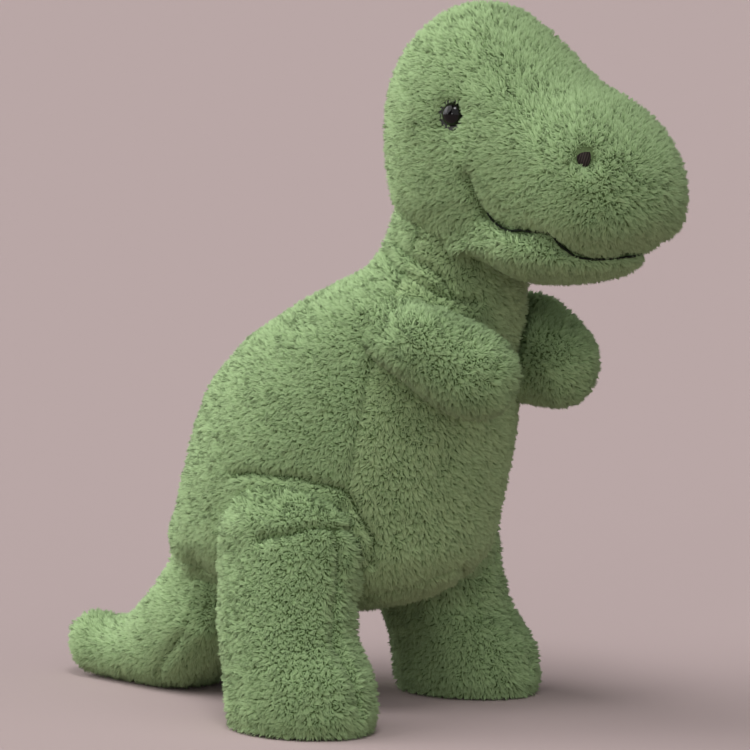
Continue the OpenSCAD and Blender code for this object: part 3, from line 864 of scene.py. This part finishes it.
def dress(body):
    """Finds on a body's cloth where its pile stands, how long it is and which way it lies."""
    obj = skin_of(body)
    soles = soles_of(body)
    label, away = panel_seams(obj.data, panels_of(body) + soles)
    seam = length(away)
    parting = drawn_lines(obj, body, seam)
    points = points_of(obj.data)
    normals = points_of(obj.data, "normal")
    held = SEAM_SHOWS[kind_of(body)] * fade(seam, SEAM_PARTING)
    # Where the pile parts at folds and seams it leaves the backing bare: the crease is partly sunk cloth and
    # partly the backing's painted shade.
    cover = 1 - step(np.maximum(length(parting), held), 0.9, 1.0)
    parting += unit(away) * SEAM_LEAN * held[:, None]
    parted = np.minimum(length(parting), 1)
    comb = brushed(body, points, normals) * (1 - BRUSH_LOSS * parted)[:, None] + parting * FOLD_LEAN
    pile = 1 - LENGTH_LOSS * parted
    if soles:
        cover *= 1 - step(-normals[:, 2], 0.6, 0.85)
    if body == "head":
        tree = tree_of(obj.data)
        for side in SIDES:
            for kind, (bare, combed, _) in FACE_SPOTS.items():
                away = points - nearest(tree, face_spot(kind, side)[None])[0]
                near = length(away)
                # The bare ring shows the dark backing as painted shade in the socket and the nostril's
                # recess.
                cover *= step(near, bare, bare + 1 * MM)
                share = (1 - step(near, bare, combed))[:, None]
                comb = comb * (1 - share) + unit(away) * share
                pile *= 1 - 0.5 * share[:, 0]
    coats = SOFT[body]["coats"].values()
    coat_of_panel = [i for i, group in enumerate(coats) for _ in group] + [0] * len(soles)
    corner = numbers_of(obj.data.loops, "vertex_index")
    first = numbers_of(obj.data.polygons, "loop_start")
    zone = np.array(coat_of_panel)[label][corner[first]]
    return {"pile": pile, "cover": cover, "comb": comb, "zone": zone}


def uncovered(body, cover):
    """Takes the pile off cloth that lies inside another body's cloth and stays there."""
    points = points_of(skin_of(body).data)
    low, high = points.min(0), points.max(0)
    for other in SOFT:
        if other == body or "arm" in body + other:
            continue
        beside = points_of(skin_of(other).data)
        if (beside.min(0) > high).any() or (beside.max(0) < low).any():
            continue
        near = ((points > beside.min(0) - BESIDE) & (points < beside.max(0) + BESIDE)).all(1)
        tree = tree_of(skin_of(other).data)
        outside = outside_of(tree, points[near], nearest(tree, points[near])[2])
        cover[near] *= step(outside, *HIDDEN)


def store(mesh, name, values, data_type="FLOAT", domain="POINT"):
    attribute = mesh.attributes.new(name, data_type, domain)
    key = "vector" if data_type == "FLOAT_VECTOR" else "value"
    attribute.data.foreach_set(key, np.asarray(values, np.float32).ravel())


def pile_tree():
    """Locks of pile on a cloth: each leans with the brush and towards the middle of its tuft."""
    tree = bpy.data.node_groups.new("Plush pile", "GeometryNodeTree")
    for name in PILE_INPUTS:
        kind = PILE_INPUT_KINDS.get(name, "Float")
        tree.interface.new_socket(name, in_out="INPUT", socket_type=f"NodeSocket{kind}")
    tree.interface.new_socket("Geometry", in_out="OUTPUT", socket_type="NodeSocketGeometry")
    g = Graph(tree)
    take = g.values("NodeGroupInput")
    here = g.attribute("zone").same_as(take["Coat"])
    spread = g.values("GeometryNodeDistributePointsOnFaces", {
        "Mesh": take["Geometry"],
        "Density": take["Density"] * g.attribute("cover") * here,
        "Seed": take["Seed"],
    })
    normal = spread["Normal"]
    spot = g.value("GeometryNodeInputPosition")
    tuft = g.values("ShaderNodeTexVoronoi", {"Vector": spot, "Scale": 1.0 / take["Tuft"]})
    own = tuft["Color"]
    chance = g.values("ShaderNodeTexWhiteNoise", {"Vector": spot * CHANCES})
    draw = chance["Value"]
    patch = g.noise(spot, PATCHES)
    swirl = g.noise(spot, SWIRLS, 1.0, "Color")
    aim = (
        normal + g.attribute("comb", "FLOAT_VECTOR") * take["Lean"] + (own - 0.5) * take["Tousle"]
        + (swirl - 0.5) * take["Tousle"] + (chance["Color"] - 0.5) * 0.35
        + (tuft["Position"] - spot) * (take["Gather"] / take["Length"])
    ).unit()
    turn = g.value("FunctionNodeEulerToRotation", {0: g.value("ShaderNodeCombineXYZ", {2: draw * tau})})
    facing = g.value("FunctionNodeAlignRotationToVector", {"Rotation": turn, "Vector": aim}, axis="Z")
    parts = g.values("ShaderNodeSeparateXYZ", {0: own})
    size = g.attribute("pile") * (parts["X"] * 0.45 + draw * 0.35 + 0.62)
    tone = (parts["Y"] * 0.45 + draw * 0.25 + patch * 0.6 - 0.15).clamped()
    toned = g.stored(spread["Points"], "tone", tone)
    turned = g.stored(toned, "upright", normal, "FLOAT_VECTOR")
    lock = g.values("GeometryNodeMeshCone", {
        "Vertices": 3, "Radius Top": 0.0, "Radius Bottom": take["Thickness"], "Depth": take["Length"],
    }, fill_type="NONE")
    tipped = g.stored(lock["Mesh"], "tip", lock["Top"])
    grown = g.value("GeometryNodeInstanceOnPoints", {
        "Points": turned, "Instance": tipped, "Rotation": facing, "Scale": size,
    })
    real = g.value("GeometryNodeRealizeInstances", {"Geometry": grown})
    clad = g.value("GeometryNodeSetMaterial", {"Geometry": real, "Material": take["Material"]})
    g.node("NodeGroupOutput", {"Geometry": clad})
    return tree


def grow(body, coat, index, tree, material):
    """Makes one coat of pile as a plain mesh, coloured by its tuft and from root to tip."""
    pile = settings().pile
    name = f"{coat}_pile"
    obj = new_object(name, skin_of(body).data.copy())
    modifier = obj.modifiers.new("Pile", "NODES")
    modifier.node_group = tree
    given = {name: getattr(pile, name.lower()) for name in PILE_NUMBERS}
    given |= {"Coat": index, "Seed": pile.seed + index, "Material": material}
    given["Density"] = pile.density / MM**2
    for item in tree.interface.items_tree:
        if item.in_out == "INPUT" and item.name in given:
            modifier[item.identifier] = given[item.name]
    finished(obj)
    mesh = obj.data
    mesh.name = name
    tip, tone = (numbers_of(mesh.attributes[of].data, "value", 1, np.float32) for of in ("tip", "tone"))
    upright = numbers_of(mesh.attributes["upright"].data, "vector", 3, np.float32)
    corner = numbers_of(mesh.loops, "vertex_index").reshape(-1, 3)
    at_tip = tip[corner] > 0.5
    rank = np.cumsum(~at_tip, axis=1)
    across = np.where(at_tip, 0, np.where(rank == 1, -1, 1))
    u = TONES[0] + TONES[1] * tone[corner] + LOCK_WIDTH * across
    v = np.where(at_tip, TIP_AT, ROOT_AT)
    for attribute in [a.name for a in mesh.attributes if a.name in STORED]:
        mesh.attributes.remove(mesh.attributes[attribute])
    layer = mesh.uv_layers.new(name="OFBake")
    layer.uv.foreach_set("vector", np.stack([u, v], -1).astype(np.float32).ravel())
    points = points_of(mesh)
    points[:, 2] = np.maximum(points[:, 2], PILE_FLOOR)
    move_points(mesh, points)
    mesh.shade_smooth()
    soft = upright * pile.softness + points_of(mesh, "normal") * (1 - pile.softness)
    mesh.normals_split_custom_set_from_vertices((soft / length(soft)[:, None]).tolist())
    hold(obj, body)
    "belly_plush" if coat == "belly" else "plush"


def scaled(colour, share):
    return (*[share * c for c in colour], 1)


def new_material(name, rough=0.5, specular=0.5):
    material = bpy.data.materials.new(name)
    material.use_nodes = True
    g = Graph(material.node_tree)
    shader = g.node("ShaderNodeBsdfPrincipled", {"Roughness": rough, "Specular IOR Level": specular})
    g.node("ShaderNodeOutputMaterial", {"Surface": Value(g, shader.outputs[0])})
    return material, g, shader.inputs


def pile_material(name, tip, root):
    """Pile that is darker at its roots as painted shade deep in the pile, and differs a little from tuft to
    tuft.
    """
    material, g, look = new_material(name, 0.85, 0.25)
    place = g.values("ShaderNodeSeparateXYZ", {0: g.value("ShaderNodeUVMap", uv_map="OFBake")})
    along = place["Y"].power(0.8)
    shade = g.mixed(place["X"], scaled(tip, 0.86), scaled(tip, 1.08))
    # Painted shade: the colour runs from the darker roots to the tips, for the shade deep in the pile.
    g.feed(look["Base Color"], g.mixed(along, scaled(root, 1), shade))
    return material


def shaded_backing_material():
    """The backing that the pile stands on, seen only between the locks, and coloured darker as painted
    shade.
    """
    found = bpy.data.materials.get("Pile backing")
    if found:
        return found
    root = settings().pile.root
    material, g, look = new_material("Pile backing", 0.95, 0.1)
    spot = g.value("ShaderNodeTexCoord", out="Object")
    grain = g.noise(spot, 900.0)
    # Painted shade: the backing is a dark copy of the roots' colour, so the gaps between the locks read as
    # shade.
    g.feed(look["Base Color"], g.mixed(grain, scaled(root, 0.35), scaled(root, 0.8)))
    return material


def sole_material():
    """Short brushed cloth."""
    colour = settings().pile.sole
    material, g, look = new_material("Sole cloth", 0.9)
    spot = g.value("ShaderNodeTexCoord", out="Object")
    nap = g.noise(spot, 1400.0, 3.0)
    patch = g.noise(spot, 120.0)
    weave = nap * 0.7 + patch * 0.3
    g.feed(look["Base Color"], g.mixed(weave, scaled(colour, 0.6), scaled(colour, 1.35)))
    bump = g.value("ShaderNodeBump", {"Height": nap, "Strength": 0.4, "Distance": 0.3 * MM})
    g.feed(look["Normal"], bump)
    return material


def eye_material():
    """Glossy moulded plastic with faint wear."""
    colour = settings().face.eye
    material, g, look = new_material("Eye plastic", specular=0.3)
    spot = g.value("ShaderNodeTexCoord", out="Object")
    haze = g.noise(spot, 300.0)
    g.feed(look["Roughness"], haze * 0.05 + 0.04)
    look["Base Color"].default_value = (*colour, 1)
    return material


def thread_material(name, colour):
    """Satin thread in fine side by side strands."""
    material, g, look = new_material(name, 0.7, 0.15)
    spot = g.value("ShaderNodeTexCoord", out="Object")
    strand = g.value("ShaderNodeTexWave", {
        "Vector": spot, "Scale": 420.0, "Distortion": 1.5, "Detail": 1.0,
    }, out="Fac")
    g.feed(look["Base Color"], g.mixed(strand, scaled(colour, 0.5), scaled(colour, 1.6)))
    bump = g.value("ShaderNodeBump", {"Height": strand, "Strength": 0.5, "Distance": 0.2 * MM})
    g.feed(look["Normal"], bump)
    return material


def copied(name, node, material, shift=(0, 0, 0)):
    """A merged, smooth copy of one node as a piece of its own."""
    obj = merged(name, [node])
    move_points(obj.data, points_of(obj.data) + shift)
    obj.data.shade_smooth()
    obj.data.materials.append(material)
    return obj


class DINOSAUR_OT_torso(bpy.types.Operator):
    """Make the body's stuffed cloth"""

    bl_idname = "dinosaur.torso"
    bl_label = "Torso"

    def execute(self, context):
        make_skin("torso")
        return {"FINISHED"}


class DINOSAUR_OT_tail(bpy.types.Operator):
    """Make the tail's stuffed cloth"""

    bl_idname = "dinosaur.tail"
    bl_label = "Tail"

    def execute(self, context):
        make_skin("tail")
        return {"FINISHED"}


class DINOSAUR_OT_head(bpy.types.Operator):
    """Make the head's stuffed cloth"""

    bl_idname = "dinosaur.head"
    bl_label = "Head"

    def execute(self, context):
        make_skin("head")
        return {"FINISHED"}


class DINOSAUR_OT_arms(bpy.types.Operator):
    """Make the arms' stuffed cloth"""

    bl_idname = "dinosaur.arms"
    bl_label = "Arms"

    def execute(self, context):
        for side in SIDES:
            make_skin(f"arm_{side}")
        return {"FINISHED"}


class DINOSAUR_OT_legs(bpy.types.Operator):
    """Make the legs' stuffed cloth and their soles"""

    bl_idname = "dinosaur.legs"
    bl_label = "Legs"

    def execute(self, context):
        material = sole_material()
        for side in SIDES:
            make_skin(f"leg_{side}")
            sole = copied(f"sole_{side}_cloth", f"sole_{side}", material)
            middle = node_middle(f"sole_{side}") * (1, 1, 0)
            rim = points_of(sole.data) - middle
            inset = 1 - SOLE_INSET / np.maximum(length(rim * (1, 1, 0)), 8 * MM)
            move_points(sole.data, middle + rim * np.stack([inset, inset, np.ones(len(rim))], 1))
            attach(sole, f"leg_{side}")
            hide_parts(f"sole_{side}")
        return {"FINISHED"}


class DINOSAUR_OT_pile(bpy.types.Operator):
    """Grow the plush pile on every body's cloth"""

    bl_idname = "dinosaur.pile"
    bl_label = "Pile"

    def execute(self, context):
        pile = settings().pile
        plush = pile_material("Plush", pile.tip, pile.root)
        # Painted light: the belly's coat has lighter tips to brighten the dim belly.
        belly = pile_material("Belly plush", pile.belly_lit_tip, pile.root)
        tree = pile_tree()
        coats = {body: dress(body) for body in SOFT}
        for body, fields in coats.items():
            uncovered(body, fields["cover"])
        for body, fields in coats.items():
            mesh = skin_of(body).data
            for name in ("pile", "cover"):
                store(mesh, name, fields[name])
            store(mesh, "comb", fields["comb"], "FLOAT_VECTOR")
            store(mesh, "zone", fields["zone"], domain="FACE")
            for index, coat in enumerate(SOFT[body]["coats"]):
                grow(body, coat, index, tree, belly if coat == "belly" else plush)
            for name in fields:
                mesh.attributes.remove(mesh.attributes[name])
            finish_skin(skin_of(body), body)
        return {"FINISHED"}


class DINOSAUR_OT_face(bpy.types.Operator):
    """Make the eyes, the nostrils and the mouth's thread"""

    bl_idname = "dinosaur.face"
    bl_label = "Face"

    def execute(self, context):
        face = settings().face
        eye_finish = eye_material()
        stitching = thread_material("Nostril thread", face.stitch)
        tree = tree_of(skin_of("head").data)
        for side in SIDES:
            moved = face_spot("eye", side) - node_middle(f"eye_{side}")
            eye = copied(f"eye_{side}_dome", f"eye_{side}", eye_finish, moved)
            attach(eye, "head")
            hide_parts(f"eye_{side}")
            middle = face_spot("nostril", side)
            inward = nearest(tree, middle[None])[0][0] - node_middle(f"nostril_{side}")
            pad = copied(f"nostril_{side}_pad", f"nostril_{side}", stitching, inward * PAD_SINK)
            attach(pad, "head")
            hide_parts(f"nostril_{side}")
        self.thread(tree, face)
        return {"FINISHED"}

    def thread(self, tree, face):
        """A thread that lies in the mouth's fold; its near-black colour is partly the thread's own and
        partly painted shade of the fold.
        """
        left = placed(MOUTH_LINE, NECK, 1)
        line = np.concatenate([left, (left * (1, -1, 1))[-2::-1]])
        fine = np.linspace(0, len(line) - 1, THREAD_POINTS * len(line))
        line = np.stack([np.interp(fine, np.arange(len(line)), line[:, i]) for i in range(3)], 1)
        spot, normal, _ = nearest(tree, line)
        for _ in range(THREAD_ROUNDS):
            for row in (spot, normal):
                row[1:-1] = (row[:-2] + row[1:-1] + row[2:]) / 3
        curve = bpy.data.curves.new("mouth_thread", "CURVE")
        curve.dimensions = "3D"
        curve.bevel_depth = face.thread
        curve.bevel_resolution = 2
        curve.resolution_u = 4
        curve.use_fill_caps = True
        spline = curve.splines.new("NURBS")
        spline.points.add(len(line) - 1)
        spline.use_endpoint_u = True
        for point, at in zip(spline.points, spot + normal * THREAD_LIFT):
            point.co = (*at, 1)
        shape = new_object("mouth_shape", curve)
        mesh = plain_mesh(shape)
        bpy.data.objects.remove(shape)
        thread = new_object("mouth_thread", mesh)
        mesh.materials.clear()
        mesh.materials.append(thread_material("Mouth thread", face.lip_thread_and_shade))
        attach(thread, "head")


class DINOSAUR_OT_stage(bpy.types.Operator):
    """Set the floor, the lights and the camera"""

    bl_idname = "dinosaur.stage"
    bl_label = "Stage"

    def execute(self, context):
        stage = settings().stage
        scene = context.scene
        bm = bmesh.new()
        bmesh.ops.create_grid(bm, x_segments=1, y_segments=1, size=stage.floor_size / 2)
        mesh = bpy.data.meshes.new("floor")
        bm.to_mesh(mesh)
        bm.free()
        floor = new_object("floor", mesh)
        material, _, look = new_material("Floor", 1.0, 0.0)
        look["Base Color"].default_value = (*stage.floor, 1)
        mesh.materials.append(material)
        world = bpy.data.worlds.new("Studio")
        world.use_nodes = True
        g = Graph(world.node_tree)
        glow = g.value("ShaderNodeBackground", {"Color": (1, 1, 1, 1), "Strength": stage.fill})
        g.node("ShaderNodeOutputWorld", {"Surface": glow})
        scene.world = world
        middle = Vector(stage.target)
        lights = [self.lamp(name, getattr(stage, name), *lamp) for name, lamp in LAMPS.items()]
        camera = new_object("camera", bpy.data.cameras.new("camera"))
        camera.location = stage.camera
        camera.rotation_euler = (middle - camera.location).to_track_quat("-Z", "Y").to_euler()
        camera.data.lens = stage.lens
        camera.data.clip_end = 200
        scene.camera = camera
        scene.view_settings.view_transform = "Standard"
        return {"FINISHED"}

    def lamp(self, name, strength, width, way):
        """A far lamp that shines from the way given and looks as many degrees wide."""
        light = bpy.data.lights.new(name, "SUN")
        light.energy = strength
        light.angle = radians(width)
        obj = new_object(name, light)
        obj.location = way
        obj.rotation_euler = Vector(way).to_track_quat("Z", "Y").to_euler()
        return obj


OPERATORS = (
    DINOSAUR_OT_torso, DINOSAUR_OT_tail, DINOSAUR_OT_head, DINOSAUR_OT_arms, DINOSAUR_OT_legs,
    DINOSAUR_OT_pile, DINOSAUR_OT_face, DINOSAUR_OT_stage,
)


class DINOSAUR_PT_sidebar(bpy.types.Panel):
    """Lists the steps and their settings"""

    bl_idname = "DINOSAUR_PT_sidebar"
    bl_label = "Stuffed dinosaur"
    bl_space_type = "VIEW_3D"
    bl_region_type = "UI"
    bl_category = "Dinosaur"

    def draw(self, context):
        for operator in OPERATORS:
            self.layout.operator(operator.bl_idname)
        for group in ("cloth", "pile", "face", "stage"):
            box = self.layout.box()
            values = getattr(context.scene.dinosaur, group)
            for name in values.bl_rna.properties.keys():
                if name not in ("rna_type", "name"):
                    box.prop(values, name)


CLASSES = (
    ClothSettings, PileSettings, FaceSettings, StageSettings, DinosaurSettings, *OPERATORS,
    DINOSAUR_PT_sidebar,
)


def register():
    for cls in CLASSES:
        bpy.utils.register_class(cls)
    bpy.types.Scene.dinosaur = bpy.props.PointerProperty(type=DinosaurSettings)


def unregister():
    del bpy.types.Scene.dinosaur
    for cls in reversed(CLASSES):
        bpy.utils.unregister_class(cls)


def main():
    register()
    bpy.ops.dinosaur.torso()
    bpy.ops.dinosaur.tail()
    bpy.ops.dinosaur.head()
    bpy.ops.dinosaur.arms()
    bpy.ops.dinosaur.legs()
    bpy.ops.dinosaur.pile()
    bpy.ops.dinosaur.face()
    bpy.ops.dinosaur.stage()


if __name__ == "__main__":
    main()
